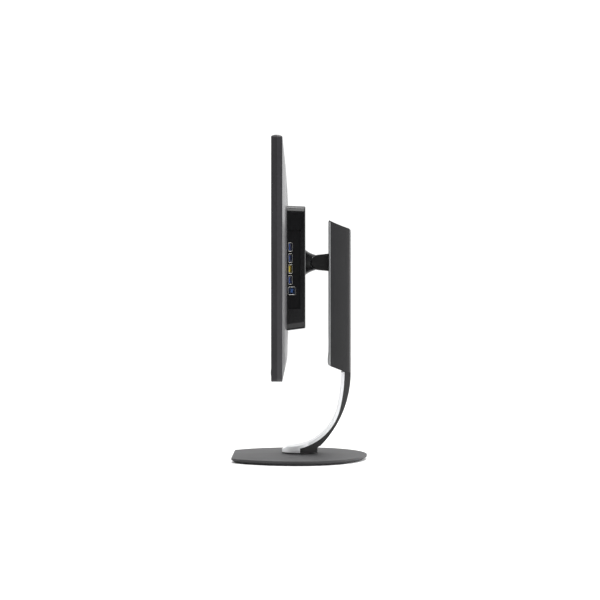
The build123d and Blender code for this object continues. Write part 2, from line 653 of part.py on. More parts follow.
# ---------------------------------------------------------------- side sockets
PANEL_X = (145.8, 147.6)
MOUTH_X = 147.9
USB_A_Y = -16.0
USB_A_Z = [362.3, 344.0, 308.0]
CHARGE_Z = 326.0
USB_B_Y = -13.6
USB_B_Z = 290.0
USB_A_SIZE = (5.7, 13.1)  # across, along
USB_B_SIZE = (11.4, 12.0)
SHELL_WALL = 0.5
SIDE_WINDOW_Y = (-20.0, 0.5)
SIDE_WINDOW_Z = (260.0, 391.0)


def socket_box(y, z, size, x, grow=0.0, mode=Mode.ADD):
    """The outline of a side socket, run between two depths."""
    block(x, around(y, size[0] + 2 * grow), around(z, size[1] + 2 * grow), mode=mode)


with BuildPart() as usb_a_shells:
    for z in [*USB_A_Z, CHARGE_Z]:
        socket_box(USB_A_Y, z, USB_A_SIZE, (133.5, MOUTH_X))
        socket_box(USB_A_Y, z, USB_A_SIZE, (134.0, 150), grow=-SHELL_WALL, mode=Mode.SUBTRACT)
save(usb_a_shells, "usb_a_shells")


def usb_a_tongue(z):
    """Back block and contact tongue of one flat socket."""
    inner = USB_A_SIZE[0] / 2 - SHELL_WALL
    reach_z = USB_A_SIZE[1] / 2 - SHELL_WALL
    block((134.0, 137.5), (USB_A_Y - inner, USB_A_Y + inner), (z - reach_z, z + reach_z))
    block((137.5, MOUTH_X - 1.0), (USB_A_Y - inner, USB_A_Y - inner + 1.9), (z - 5.6, z + 5.6))


with BuildPart() as usb_a_tongues:
    for z in USB_A_Z:
        usb_a_tongue(z)
save(usb_a_tongues, "usb_a_tongues")

with BuildPart() as fast_charge_tongue:
    usb_a_tongue(CHARGE_Z)
save(fast_charge_tongue, "fast_charge_tongue")

with BuildPart() as usb_b_shell:
    socket_box(USB_B_Y, USB_B_Z, USB_B_SIZE, (130.5, MOUTH_X))
    socket_box(USB_B_Y, USB_B_Z, USB_B_SIZE, (131.2, 150), grow=-0.7, mode=Mode.SUBTRACT)
save(usb_b_shell, "usb_b_shell")

with BuildPart() as usb_b_tongue:
    inner_y = USB_B_SIZE[0] - 1.4
    inner_z = USB_B_SIZE[1] - 1.4
    block((131.2, 136), around(USB_B_Y, inner_y), around(USB_B_Z, inner_z))
    block((136, MOUTH_X - 1.2), around(USB_B_Y, 3.2), around(USB_B_Z, 5.8))
save(usb_b_tongue, "usb_b_tongue")

HUB_Y = (-20.7, USB_B_Y - USB_B_SIZE[0] / 2)
with BuildPart() as usb_hub_board:
    block((112, 144.5), HUB_Y, (276, 376))
    block((116, 126), (HUB_Y[1], HUB_Y[1] + 1.2), (318, 328))
save(usb_hub_board, "usb_hub_board")

with BuildPart() as io_side_panel:
    panel_y = (SIDE_WINDOW_Y[0] - 1.2, SIDE_WINDOW_Y[1] + 2)
    block(PANEL_X, panel_y, (SIDE_WINDOW_Z[0] - 2, SIDE_WINDOW_Z[1] + 2))
    for z in [*USB_A_Z, CHARGE_Z]:
        socket_box(USB_A_Y, z, USB_A_SIZE, (140, 150), grow=0.3, mode=Mode.SUBTRACT)
    socket_box(USB_B_Y, USB_B_Z, USB_B_SIZE, (140, 150), grow=0.3, mode=Mode.SUBTRACT)
save(io_side_panel, "io_side_panel")

# ---------------------------------------------------------------- sockets underneath
BAY_X = (-128.0, 122.0)
BAY_Y = (-18.0, 2.0)
BAY_Z = (235.0, 236.8)
INLET_X = -104.0
ROCKER_X = -72.0
SOCKET_Y = -8.0
VIDEO = [(-36.0, (15.4, 5.8)), (-6.0, (16.8, 5.8)), (34.0, (31.0, 8.4))]  # x, then width and depth
JACK_X = (66.0, 82.0)
INLET = (27.0, 19.8)
ROCKER = (19.4, 13.0)


def upright_box(x, size, z, mode=Mode.ADD):
    """The outline of a socket underneath, run between two heights."""
    block(around(x, size[0]), around(SOCKET_Y, size[1]), z, mode=mode)


def smaller(size, wall):
    """A width and depth less a wall all round."""
    return (size[0] - 2 * wall, size[1] - 2 * wall)


with BuildPart() as io_bottom_panel:
    block(BAY_X, (BAY_Y[0] - 1.4, BAY_Y[1] + 1.4), BAY_Z)
    for x, size in [(INLET_X, INLET), (ROCKER_X, ROCKER), *VIDEO]:
        upright_box(x, size, (230, 240), mode=Mode.SUBTRACT)
    for x in JACK_X:
        rod(3.6, (x, SOCKET_Y, 230), (x, SOCKET_Y, 240), mode=Mode.SUBTRACT)
save(io_bottom_panel, "io_bottom_panel")

with BuildPart() as ac_inlet:
    upright_box(INLET_X, INLET, (BAY_Z[0] - 1, 254))
    with BuildSketch(Plane.XY.offset(BAY_Z[0] - 1)):
        with Locations((INLET_X, SOCKET_Y)):
            Rectangle(24.0, 16.0)
        chamfer(vertices().group_by(Axis.Y)[0], 4.0)
    extrude(amount=16, mode=Mode.SUBTRACT)
    for x, y in ((-7, -2), (7, -2), (0, 2)):
        block(around(INLET_X + x, 2), around(SOCKET_Y + y, 4), (BAY_Z[0] + 4, BAY_Z[0] + 15.5))
save(ac_inlet, "ac_inlet")

ROCKER_Z = BAY_Z[0] + 4.0
with BuildPart() as power_rocker:
    with BuildSketch(Plane.XZ.offset(-SOCKET_Y)):
        with BuildLine():
            Polyline((-7.9, -5.2), (0, -3.2), (7.9, -3.2), (7.4, 3.4), (-7.4, 3.4), close=True)
        make_face()
    extrude(amount=5.9, both=True)
    rod(1.5, (0, SOCKET_Y - 20, 0), (0, SOCKET_Y + 20, 0), mode=Mode.SUBTRACT)
power_rocker.part.position += (ROCKER_X, 0, ROCKER_Z)
save(power_rocker, "power_rocker")

with BuildPart() as rocker_frame:
    upright_box(ROCKER_X, ROCKER, (BAY_Z[0] - 0.6, 252))
    upright_box(ROCKER_X, (ROCKER[0] - 1.0, ROCKER[1] - 0.8), (BAY_Z[0] - 2, 246), mode=Mode.SUBTRACT)
    pin_y = around(SOCKET_Y, ROCKER[1] - 0.4)
    rod(1.45, (ROCKER_X, pin_y[0], ROCKER_Z), (ROCKER_X, pin_y[1], ROCKER_Z))
save(rocker_frame, "rocker_frame")

with BuildPart() as video_sockets:
    for x, size in VIDEO:
        upright_box(x, size, (BAY_Z[0] - 0.6, 247))
        upright_box(x, smaller(size, 0.6), (BAY_Z[0] - 1, 245), mode=Mode.SUBTRACT)
        upright_box(x, (size[0] - 4.4, 1.6), (BAY_Z[0] + 0.5, 245))
    for x in JACK_X:
        rod(3.5, (x, SOCKET_Y, BAY_Z[0] - 0.6), (x, SOCKET_Y, 248))
        rod(1.8, (x, SOCKET_Y, BAY_Z[0] - 2), (x, SOCKET_Y, 246), mode=Mode.SUBTRACT)
save(video_sockets, "video_sockets")

# ---------------------------------------------------------------- housing
VENT_SLOTS = 24
VENT_PITCH = 9.0


def spread(count, pitch):
    """Evenly spaced positions about zero."""
    return [(i - (count - 1) / 2) * pitch for i in range(count)]


def housing_section(ends, wall=0.0):
    """The housing's outline at one depth: ends are its bottom and top, wall how far inside it lies."""
    panel_outline(HOUSING_HALF - wall, ends[0] + wall, ends[1] - wall, HOUSING_CORNER - wall)


def floor_z(y):
    """Height of the middle of the housing's sloped floor at one depth."""
    part_way = (y - STEP_TWO[0]) / (HOUSING_BACK_Y - STEP_TWO[0])
    return HOUSING_FRONT_Z[0] + part_way * (HOUSING_REAR_Z[0] - HOUSING_FRONT_Z[0]) + SKIN / 2


def recess_section(wall, radius):
    """The square mounting recess, grown by a wall."""
    half = RECESS_SIDE / 2 + wall
    panel_outline(half, AXIS_Z - half, AXIS_Z + half, radius)


with BuildPart() as rear_housing:
    with BuildSketch(facing_front(STEP_TWO[0])):
        housing_section(HOUSING_FRONT_Z)
    with BuildSketch(facing_front(HOUSING_BACK_Y)):
        housing_section(HOUSING_REAR_Z)
    loft()
    fillet(rear_housing.faces().sort_by(Axis.Y)[-1].edges(), 2.0)
    with BuildSketch(facing_front(STEP_TWO[0] - 0.5)):
        housing_section(HOUSING_FRONT_Z, SKIN)
    with BuildSketch(facing_front(HOUSING_BACK_Y - SKIN)):
        housing_section(HOUSING_REAR_Z, SKIN)
    loft(mode=Mode.SUBTRACT)
    # mounting recess, with its own floor and walls
    with BuildSketch(facing_front(HOUSING_BACK_Y - 1.0)):
        recess_section(SKIN, 8)
    extrude(amount=HOUSING_BACK_Y - 1.0 - (RECESS_FLOOR_Y - SKIN))
    with BuildSketch(facing_front(HOUSING_BACK_Y + 1)):
        recess_section(0, 6)
    extrude(amount=HOUSING_BACK_Y + 1 - RECESS_FLOOR_Y, mode=Mode.SUBTRACT)
    rod(14, (0, 0, AXIS_Z), (0, 12, AXIS_Z), mode=Mode.SUBTRACT)
    for x, z in SCREW_SPOTS:
        rod(2.2, (x, 0, z), (x, 12, z), mode=Mode.SUBTRACT)
    for x, z in VESA_SPOTS:
        rod(INSERT_RADIUS, (x, 0, z), (x, 12, z), mode=Mode.SUBTRACT)
    # a wall round the bay of the bottom sockets, from the sloped floor up to their panel
    bay_front = BAY_Y[0] - 2
    bay_back = BAY_Y[1] + 2
    with BuildSketch(Plane.YZ.offset(BAY_X[0])):
        with BuildLine():
            Polyline(
                (bay_front, floor_z(bay_front)),
                (bay_back, floor_z(bay_back)),
                (bay_back, BAY_Z[0]),
                (bay_front, BAY_Z[0]),
                close=True,
            )
        make_face()
    extrude(amount=BAY_X[1] - BAY_X[0])
    # windows for the side and bottom sockets
    block((140, 155), SIDE_WINDOW_Y, SIDE_WINDOW_Z, mode=Mode.SUBTRACT)
    block((BAY_X[0] + 2, BAY_X[1] - 2), BAY_Y, (215, BAY_Z[0] + 1), mode=Mode.SUBTRACT)
    # security lock slot in the far side wall
    block((-155, -140), (-10, -7), (250, 257), mode=Mode.SUBTRACT)
    # cooling slots in the top wall
    with Locations([(x, -6.0, 430) for x in spread(VENT_SLOTS, VENT_PITCH)]):
        Box(3.0, 18.0, 20.0, mode=Mode.SUBTRACT)
    # screw wells at the four corners
    for x, z in HOUSING_SCREW_SPOTS:
        rod(5.0, (x, -6.0, z), (x, HOUSING_BACK_Y - 1, z))
        rod(3.4, (x, 2.0, z), (x, HOUSING_BACK_Y + 1, z), mode=Mode.SUBTRACT)
        rod(1.6, (x, -7.0, z), (x, 3.0, z), mode=Mode.SUBTRACT)
save(rear_housing, "rear_housing")

with BuildPart() as housing_screws:
    for x, z in HOUSING_SCREW_SPOTS:
        rod(1.5, (x, -9.0, z), (x, 2.0, z))
        rod(3.0, (x, 2.0, z), (x, 4.2, z))
        cross_recess(x, z, 3.2, 4.0)
save(housing_screws, "housing_screws")

# ---------------------------------------------------------------- head outline in side view
CROWN_Y = -38.0
CROWN_DROP = (2.6, 3.0)  # how far the crowned top falls to the front and to the back


def head_side():
    """Side view of the whole head: a crowned top edge and small radii at the bottom."""
    front = (FRONT_Y, HEAD_HIGH - CROWN_DROP[0])
    back = (EDGE_BACK_Y, HEAD_HIGH - CROWN_DROP[1])
    with BuildLine() as outline:
        ThreePointArc(front, (CROWN_Y, HEAD_HIGH), back)
        Polyline(back, (0, back[1]), (0, HEAD_LOW), (FRONT_Y, HEAD_LOW), front)
    make_face(outline.edges())
    fillet(vertices().sort_by_distance((FRONT_Y, HEAD_LOW))[0], 1.5)


# ---------------------------------------------------------------- rear cover
VENT_ROWS = (446.0, 462.0)
VENT_COUNT = 30
GRILLE_COUNT = 12
SPEAKER_X = 225.0
SPEAKER_Z = 176.0

with BuildPart() as rear_cover:
    with BuildSketch(facing_front(SEAM_Y)):
        panel_outline(HEAD_WIDTH / 2, HEAD_LOW, HEAD_HIGH, 4)
    extrude(amount=SEAM_Y - EDGE_BACK_Y)
    with BuildSketch(facing_front(EDGE_BACK_Y)):
        panel_outline(HEAD_WIDTH / 2, HEAD_LOW, HEAD_HIGH, 4)
    with BuildSketch(facing_front(STEP_ONE[0])):
        panel_outline(*STEP_ONE[1:], 4)
    loft()
    with BuildSketch(facing_front(STEP_ONE[0])):
        panel_outline(*STEP_ONE[1:], 4)
    with BuildSketch(facing_front(STEP_TWO[0])):
        panel_outline(*STEP_TWO[1:], 4)
    loft()
    # inside, one wall thickness in
    with BuildSketch(facing_front(SEAM_Y - 1)):
        panel_outline(HEAD_WIDTH / 2 - SKIN, HEAD_LOW + SKIN, HEAD_HIGH - SKIN, 2)
    extrude(amount=SEAM_Y - 1 - (EDGE_BACK_Y - SKIN), mode=Mode.SUBTRACT)
    with BuildSketch(facing_front(EDGE_BACK_Y - SKIN)):
        panel_outline(HEAD_WIDTH / 2 - SKIN, HEAD_LOW + SKIN, HEAD_HIGH - SKIN, 2)
    with BuildSketch(facing_front(STEP_ONE[0] - SKIN)):
        panel_outline(*STEP_ONE[1:], 4)
    loft(mode=Mode.SUBTRACT)
    with BuildSketch(facing_front(STEP_ONE[0] - SKIN)):
        panel_outline(*STEP_ONE[1:], 4)
    with BuildSketch(facing_front(STEP_TWO[0] - SKIN)):
        panel_outline(*STEP_TWO[1:], 4)
    loft(mode=Mode.SUBTRACT)
    # opening under the housing
    with BuildSketch(facing_front(SEAM_Y - 1)):
        panel_outline(HOUSING_HALF - 4, HOUSING_FRONT_Z[0] + 4, HOUSING_FRONT_Z[1] - 4, 8)
    extrude(amount=-30, mode=Mode.SUBTRACT)
    # two rows of cooling slots above the housing
    with Locations([(x, -24, z) for x in spread(VENT_COUNT, VENT_PITCH) for z in VENT_ROWS]):
        Box(3.0, 10.0, 10.0, mode=Mode.SUBTRACT)
    with BuildSketch(Plane.YZ):
        head_side()
    extrude(amount=HEAD_WIDTH, both=True, mode=Mode.INTERSECT)
    # speaker slots low on each side
    for side in (-1, 1):
        with Locations([(side * SPEAKER_X + x, -24, SPEAKER_Z) for x in spread(GRILLE_COUNT, 6.0)]):
            Box(2.4, 10.0, 14.0, mode=Mode.SUBTRACT)
save(rear_cover, "rear_cover")

# ---------------------------------------------------------------- screen panel
TRAY_HALF = (306.0, 175.5)
TRAY_BACK_Y = -36.1
GLASS_Y = (-42.6, -41.0)
SHEET_Y = (-41.0, -40.1)
GUIDE_Y = (-40.1, -37.1)


def across(half_width, half_height, y, mode=Mode.ADD):
    """A slab centred on the window."""
    block((-half_width, half_width), y, around(WINDOW_MIDDLE, 2 * half_height), mode=mode)


with BuildPart() as lcd_panel:
    across(303, 172.5, GLASS_Y)
save(lcd_panel, "lcd_panel")

with BuildPart() as optical_sheets:
    across(302, 171.5, SHEET_Y)
save(optical_sheets, "optical_sheets")

with BuildPart() as light_guide:
    block((-302, 302), GUIDE_Y, (WINDOW_MIDDLE - 168.5, WINDOW_MIDDLE + 171.5))
save(light_guide, "light_guide")

with BuildPart() as led_strip:
    block((-290, 290), GUIDE_Y, (WINDOW_MIDDLE - 173.0, WINDOW_MIDDLE - 172.0))
    for x in spread(36, 16.0):
        block(around(x, 7), (-39.6, -37.6), (WINDOW_MIDDLE - 172.0, WINDOW_MIDDLE - 169.0))
save(led_strip, "led_strip")

with BuildPart() as panel_tray:
    across(*TRAY_HALF, (GLASS_Y[0] + 0.2, TRAY_BACK_Y))
    across(TRAY_HALF[0] - 1.5, TRAY_HALF[1] - 1.5, (GLASS_Y[0], TRAY_BACK_Y - 1.0), mode=Mode.SUBTRACT)
save(panel_tray, "panel_tray")

# ---------------------------------------------------------------- bezel and front keys
KEY_Z = 161.0
KEY_X = {"menu_key": 206.0, "input_key": 224.0, "up_key": 242.0, "down_key": 260.0}
POWER_X = 290.0
LED_X = 276.0
KEY_SIZE = (12.0, 4.4)
KEY_GAP = 0.25
KEY_PROUD = 0.8
KEY_BACK_Y = -40.0

with BuildPart() as front_bezel:
    with BuildSketch(facing_front(SEAM_Y)):
        panel_outline(HEAD_WIDTH / 2, HEAD_LOW, HEAD_HIGH, 4)
    extrude(amount=SEAM_Y - FRONT_Y)
    with BuildSketch(Plane.YZ):
        head_side()
    extrude(amount=HEAD_WIDTH, both=True, mode=Mode.INTERSECT)
    with BuildSketch(facing_front(SEAM_Y + 1)):
        panel_outline(HEAD_WIDTH / 2 - SKIN, HEAD_LOW + SKIN, HEAD_HIGH - SKIN, 2)
    extrude(amount=SEAM_Y + 1 - GLASS_Y[0], mode=Mode.SUBTRACT)
    with BuildSketch(facing_front(FRONT_Y)):
        with Locations((0, WINDOW_MIDDLE)):
            Rectangle(WINDOW_WIDTH, WINDOW_HEIGHT)
    extrude(amount=-5, taper=28, mode=Mode.SUBTRACT)
    for x in KEY_X.values():
        hole_z = around(KEY_Z, KEY_SIZE[1] + 2 * KEY_GAP)
        block(around(x, KEY_SIZE[0] + 2 * KEY_GAP), (-50, -40), hole_z, mode=Mode.SUBTRACT)
    rod(5.0 + KEY_GAP, (POWER_X, -50, KEY_Z), (POWER_X, -40, KEY_Z), mode=Mode.SUBTRACT)
    rod(1.2, (LED_X, -50, KEY_Z), (LED_X, -40, KEY_Z), mode=Mode.SUBTRACT)
save(front_bezel, "front_bezel")

for key_name, x in KEY_X.items():
    with BuildPart() as key:
        block(around(x, KEY_SIZE[0]), (FRONT_Y - KEY_PROUD, GLASS_Y[0] + 0.6), around(KEY_Z, KEY_SIZE[1]))
        fillet(key.faces().sort_by(Axis.Y)[0].edges(), 0.5)
        block(around(x, 3), (GLASS_Y[0] + 0.6, KEY_BACK_Y), around(KEY_Z, 3))
    save(key, key_name)

with BuildPart() as power_button:
    rod(5.0, (POWER_X, FRONT_Y - KEY_PROUD, KEY_Z), (POWER_X, GLASS_Y[0] + 0.6, KEY_Z))
    fillet(power_button.edges().sort_by(Axis.Y)[0], 0.5)
    block(around(POWER_X, 3), (GLASS_Y[0] + 0.6, KEY_BACK_Y), around(KEY_Z, 3))
save(power_button, "power_button")

with BuildPart() as power_led:
    rod(1.2, (LED_X, FRONT_Y + 0.1, KEY_Z), (LED_X, KEY_BACK_Y + 1, KEY_Z))
save(power_led, "power_led")

with BuildPart() as key_board:
    block((196, 298), (-38.6, -37.4), (153, 166))
save(key_board, "key_board")

with BuildPart() as speakers:
    for side in (-1, 1):
        block(around(side * SPEAKER_X, 72), (-35.6, -27.6), around(SPEAKER_Z + 1, 18))
        for x in (side * SPEAKER_X - 15, side * SPEAKER_X + 15):
            rod(7, (x, -27.6, SPEAKER_Z + 1), (x, -26.8, SPEAKER_Z + 1))
save(speakers, "speakers")
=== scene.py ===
import math

import bpy
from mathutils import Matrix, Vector


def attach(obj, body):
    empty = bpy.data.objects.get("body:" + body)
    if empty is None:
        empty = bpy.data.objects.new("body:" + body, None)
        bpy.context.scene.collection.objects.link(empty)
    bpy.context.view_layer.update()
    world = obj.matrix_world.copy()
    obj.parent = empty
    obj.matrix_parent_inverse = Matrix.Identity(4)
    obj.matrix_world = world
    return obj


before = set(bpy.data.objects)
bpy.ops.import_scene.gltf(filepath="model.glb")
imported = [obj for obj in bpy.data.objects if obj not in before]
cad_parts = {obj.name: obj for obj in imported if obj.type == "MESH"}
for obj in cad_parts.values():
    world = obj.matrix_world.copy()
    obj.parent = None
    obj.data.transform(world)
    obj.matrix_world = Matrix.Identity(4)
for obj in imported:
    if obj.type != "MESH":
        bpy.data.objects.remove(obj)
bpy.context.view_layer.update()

# ---------------------------------------------------------------- studio
# The desk is one large sheet of white card. Two softboxes hang above it and three stand low around the back
# and the column's side. The room is white overhead and behind the monitor and dim on the near side, so dark
# plastic keeps its depth.
MM = 0.001


def colour(code):
    """A linear RGBA colour from an sRGB hex code."""
    parts = [int(code[i : i + 2], 16) / 255 for i in (1, 3, 5)]
    return [p / 12.92 if p <= 0.04045 else ((p + 0.055) / 1.055) ** 2.4 for p in parts] + [1.0]


def add_node(owner, kind, inputs=None, **settings):
    """Adds a node to a material or world: settings are its properties, inputs are values or links."""
    made = owner.node_tree.nodes.new(kind)
    for name, value in settings.items():
        setattr(made, name, value)
    for socket, value in (inputs or {}).items():
        if isinstance(value, bpy.types.NodeSocket):
            owner.node_tree.links.new(value, made.inputs[socket])
        else:
            made.inputs[socket].default_value = value
    return made


def new_material(name, **values):
    """A node material whose shader has these fixed values, as in Roughness=0.4."""
    material = bpy.data.materials.new(name)
    material.use_nodes = True
    shader = material.node_tree.nodes["Principled BSDF"]
    for socket, value in values.items():
        shader.inputs[socket.replace("_", " ")].default_value = value
    return material, shader


def ramp(owner, fac, stops):
    """A colour ramp through (position, sRGB hex) stops, driven by fac."""
    made = add_node(owner, "ShaderNodeValToRGB", {"Fac": fac})
    while len(made.color_ramp.elements) < len(stops):
        made.color_ramp.elements.new(0.5)
    for element, (position, code) in zip(made.color_ramp.elements, stops):
        element.position = position
        element.color = colour(code)
    return made.outputs["Color"]


card, card_shader = new_material("white_card", Roughness=0.9, IOR=1.4)
card_fibre = add_node(card, "ShaderNodeTexNoise", {"Scale": 1 / (40 * MM), "Detail": 3.0})
card_tone = ramp(card, card_fibre.outputs["Fac"], [(0.3, "#f3f3f3"), (0.7, "#f7f7f7")])
card.node_tree.links.new(card_tone, card_shader.inputs["Base Color"])

DESK_SPAN = 30.0
bpy.ops.object.select_all(action="DESELECT")
bpy.ops.mesh.primitive_plane_add(size=DESK_SPAN)
desk = bpy.context.object
desk.name = "desk"
desk.data.materials.append(card)

room = bpy.data.worlds.new("studio_room")
bpy.context.scene.world = room
room.use_nodes = True
ROOM_WHITE = 1.0
ROOM_DIM = 0.03
ROOM_TOP = 0.9
ROOM_SEEN = 1.1  # the plain white that the camera sees behind the monitor
WHITE_ENDS_AT = -0.25
DIM_STARTS_AT = 0.55
direction = add_node(room, "ShaderNodeTexCoord").outputs["Generated"]
split = add_node(room, "ShaderNodeSeparateXYZ", {"Vector": direction})
towards_back = add_node(
    room,
    "ShaderNodeMapRange",
    {
        "Value": split.outputs["X"],
        "From Min": WHITE_ENDS_AT,
        "From Max": DIM_STARTS_AT,
        "To Min": ROOM_WHITE,
        "To Max": ROOM_DIM,
    },
)
upward = add_node(room, "ShaderNodeMath", {0: split.outputs["Z"], 1: 0.0}, operation="MAXIMUM").outputs[0]
dome = add_node(
    room,
    "ShaderNodeMath",
    {0: upward, 1: ROOM_TOP, 2: towards_back.outputs["Result"]},
    operation="MULTIPLY_ADD",
)
seen = add_node(room, "ShaderNodeLightPath").outputs["Is Camera Ray"]
level = add_node(
    room,
    "ShaderNodeMix",
    {"Factor": seen, "A": dome.outputs[0], "B": ROOM_SEEN},
    data_type="FLOAT",
)
background = room.node_tree.nodes["Background"]
background.inputs["Color"].default_value = colour("#ffffff")
room.node_tree.links.new(level.outputs["Result"], background.inputs["Strength"])


def softbox(name, size, place, target, power):
    """A square area light at place that faces target."""
    bpy.ops.object.light_add(type="AREA", location=place)
    light = bpy.context.object
    light.name = name
    light.data.size = size
    light.data.energy = power
    light.rotation_euler = (Vector(target) - Vector(place)).to_track_quat("-Z", "Y").to_euler()
    return light


softbox("overhead_softbox", 1.0, (0.1, 0.0, 2.6), (0, 0, 0.2), 24)
softbox("near_top_softbox", 1.4, (1.6, 0.0, 2.0), (0, 0, 0.3), 34)
softbox("rear_softbox", 1.2, (-2.6, 1.2, 0.7), (0, 0, 0.35), 2)
softbox("column_edge_softbox", 1.8, (-0.9, 2.2, 0.6), (0, 0, 0.35), 48)
softbox("column_side_softbox", 1.2, (1.8, 1.5, 0.6), (0, 0, 0.3), 8)

EYE = Vector((3.1082, 0.0, 0.2749))
LENS = 107.6
bpy.ops.object.camera_add(location=EYE, rotation=(math.pi / 2, 0, math.pi / 2))
camera = bpy.context.object
camera.name = "camera"
camera.data.lens = LENS
camera.data.sensor_width = 36
bpy.context.scene.camera = camera
bpy.context.scene.view_settings.view_transform = "Standard"


# ---------------------------------------------------------------- base
# The base is a pressed steel cover over a flat steel weight. It is powder coated in a satin mid grey, so the
# top has a fine orange-peel grain. Its bevelled edge is painted a darker grey below the top, as painted shade
# where it faces the desk.
def dress(material, *names):
    """Gives CAD nodes one material in place of their own."""
    for name in names:
        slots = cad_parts[name].data.materials
        slots.clear()
        slots.append(material)


def speckle(material, size, detail=2.0):
    """Noise on the object's own coordinates, with grains of about this size in metres."""
    place = add_node(material, "ShaderNodeTexCoord").outputs["Object"]
    grain = add_node(material, "ShaderNodeTexNoise", {"Vector": place, "Scale": 1 / size, "Detail": detail})
    return grain.outputs["Fac"]


def surface(material, shader, tones, sheen, grain, depth, patch=70 * MM):
    """Slow patches of tone and gloss, and a fine raised grain: how every coated or moulded face is made."""
    slow = speckle(material, patch, 3.0)
    material.node_tree.links.new(ramp(material, slow, tones), shader.inputs["Base Color"])
    gloss = add_node(
        material,
        "ShaderNodeMapRange",
        {"Value": slow, "From Min": 0.3, "From Max": 0.7, "To Min": sheen[0], "To Max": sheen[1]},
    )
    material.node_tree.links.new(gloss.outputs["Result"], shader.inputs["Roughness"])
    raised = add_node(
        material,
        "ShaderNodeBump",
        {"Height": speckle(material, grain), "Strength": 0.5, "Distance": depth},
    )
    material.node_tree.links.new(raised.outputs["Normal"], shader.inputs["Normal"])


# The coat's peel is about 1 mm across, drawn at 2 mm so that it shows.
base_paint, base_shader = new_material("satin_powder_coat_grey", IOR=1.5, Specular_IOR_Level=0.16)
surface(base_paint, base_shader, [(0.3, "#3e3e3f"), (0.7, "#444445")], (0.52, 0.6), 2 * MM, 0.04 * MM)
base_place = add_node(base_paint, "ShaderNodeTexCoord").outputs["Object"]
base_height = add_node(base_paint, "ShaderNodeSeparateXYZ", {"Vector": base_place}).outputs["Z"]
EDGE_TOP = (7.4 * MM, 8.0 * MM)  # heights between which the painted shade on the edge gives way to the top's grey
on_top = add_node(
    base_paint,
    "ShaderNodeMapRange",
    {"Value": base_height, "From Min": EDGE_TOP[0], "From Max": EDGE_TOP[1]},
)
# Below EDGE_TOP the coat's colour is swapped for a darker grey: painted shade on the bevel that faces the
# desk.
edge_painted_shade = add_node(
    base_paint,
    "ShaderNodeMixRGB",
    {
        "Fac": on_top.outputs["Result"],
        "Color1": colour("#3a3a3b"),
        "Color2": base_shader.inputs["Base Color"].links[0].from_socket,
    },
)
base_paint.node_tree.links.new(edge_painted_shade.outputs["Color"], base_shader.inputs["Base Color"])
dress(base_paint, "base_cover")

# Zinc plated mild steel: the weight, chassis and channel are sheet with a faint crystal spangle.
zinc, zinc_shader = new_material("zinc_plated_sheet", Metallic=1.0)
surface(zinc, zinc_shader, [(0.3, "#9b9ea1"), (0.7, "#b4b7ba")], (0.28, 0.42), 6 * MM, 0.02 * MM, 14 * MM)
dress(zinc, "base_weight", "base_thumbscrew", "chassis_plate", "column_channel", "mount_plate", "panel_tray")
dress(zinc, "tilt_yoke")

# Moulded rubber feet, matt, with the dust-grey bloom that soft rubber has.
rubber, rubber_shader = new_material("moulded_rubber", IOR=1.5)
surface(rubber, rubber_shader, [(0.3, "#1b1b1b"), (0.7, "#262626")], (0.75, 0.88), 1.2 * MM, 0.08 * MM)
dress(rubber, "base_feet")

# Acetal slides: the swivel race and the glide pads are turned or moulded, waxy off-white.
acetal, acetal_shader = new_material("natural_acetal", IOR=1.48, Subsurface_Weight=0.15)
surface(acetal, acetal_shader, [(0.3, "#d9d8d0"), (0.7, "#e4e3dc")], (0.3, 0.4), 2 * MM, 0.02 * MM)
dress(acetal, "swivel_race", "glide_pads")

# ---------------------------------------------------------------- foot and neck
# The neck is a zinc casting, fettled smooth and painted satin black, and the foot disc is a turned plate in
# the same paint.
cast_paint, cast_shader = new_material("satin_black_paint_on_zinc", IOR=1.5)
surface(cast_paint, cast_shader, [(0.3, "#161617"), (0.7, "#1b1b1c")], (0.34, 0.42), 1.6 * MM, 0.03 * MM)
dress(cast_paint, "neck_frame", "foot_disc")

# The neck's front is a bright trim of bead-blasted and anodised aluminium, clipped over the casting. Blasting
# leaves a fine even sparkle.
anodised, anodised_shader = new_material("bead_blasted_anodised_aluminium", Metallic=0.9)
surface(anodised, anodised_shader, [(0.3, "#dcdddf"), (0.7, "#e6e7e8")], (0.34, 0.42), 1.5 * MM, 0.03 * MM)
dress(anodised, "neck_front_trim")

# ---------------------------------------------------------------- column
# The column is a shell of moulded ABS in charcoal, spark-eroded tool grain outside, with a separate top cap.
# Grain is about 0.3 mm, drawn at 1.6 mm so that it shows.
column_abs, column_shader = new_material("textured_abs_charcoal", IOR=1.5, Specular_IOR_Level=0.4)
surface(column_abs, column_shader, [(0.3, "#111113"), (0.7, "#161618")], (0.4, 0.48), 1.6 * MM, 0.05 * MM)
dress(column_abs, "column_shell", "column_top_cap")

# The front cover is a separate moulding painted in satin silver, so its edge draws a pale line down the side.
cover_paint, cover_shader = new_material("satin_silver_paint", IOR=1.5, Metallic=0.3)
surface(cover_paint, cover_shader, [(0.3, "#848586"), (0.7, "#8d8e8f")], (0.36, 0.44), 1.6 * MM, 0.03 * MM)
dress(cover_paint, "column_front_cover")

# Bright steel: ground axles and screws, and the blued strip springs that balance the head.
ground_steel, ground_shader = new_material("ground_steel", Metallic=1.0)
surface(
    ground_steel,
    ground_shader,
    [(0.3, "#a9aaac"), (0.7, "#bdbec0")],
    (0.2, 0.3),
    1 * MM,
    0.01 * MM,
    8 * MM,
)
dress(ground_steel, "spool_axle", "column_screws", "tilt_axle", "tilt_washers", "pivot_spindle")
dress(ground_steel, "mount_screws", "housing_screws")

spring_steel, spring_shader = new_material("blued_spring_steel", Metallic=1.0)
surface(
    spring_steel,
    spring_shader,
    [(0.3, "#6a7079"), (0.7, "#838892")],
    (0.22, 0.3),
    1 * MM,
    0.01 * MM,
    20 * MM,
)
dress(spring_steel, "lift_spring_coils", "lift_spring_strips")

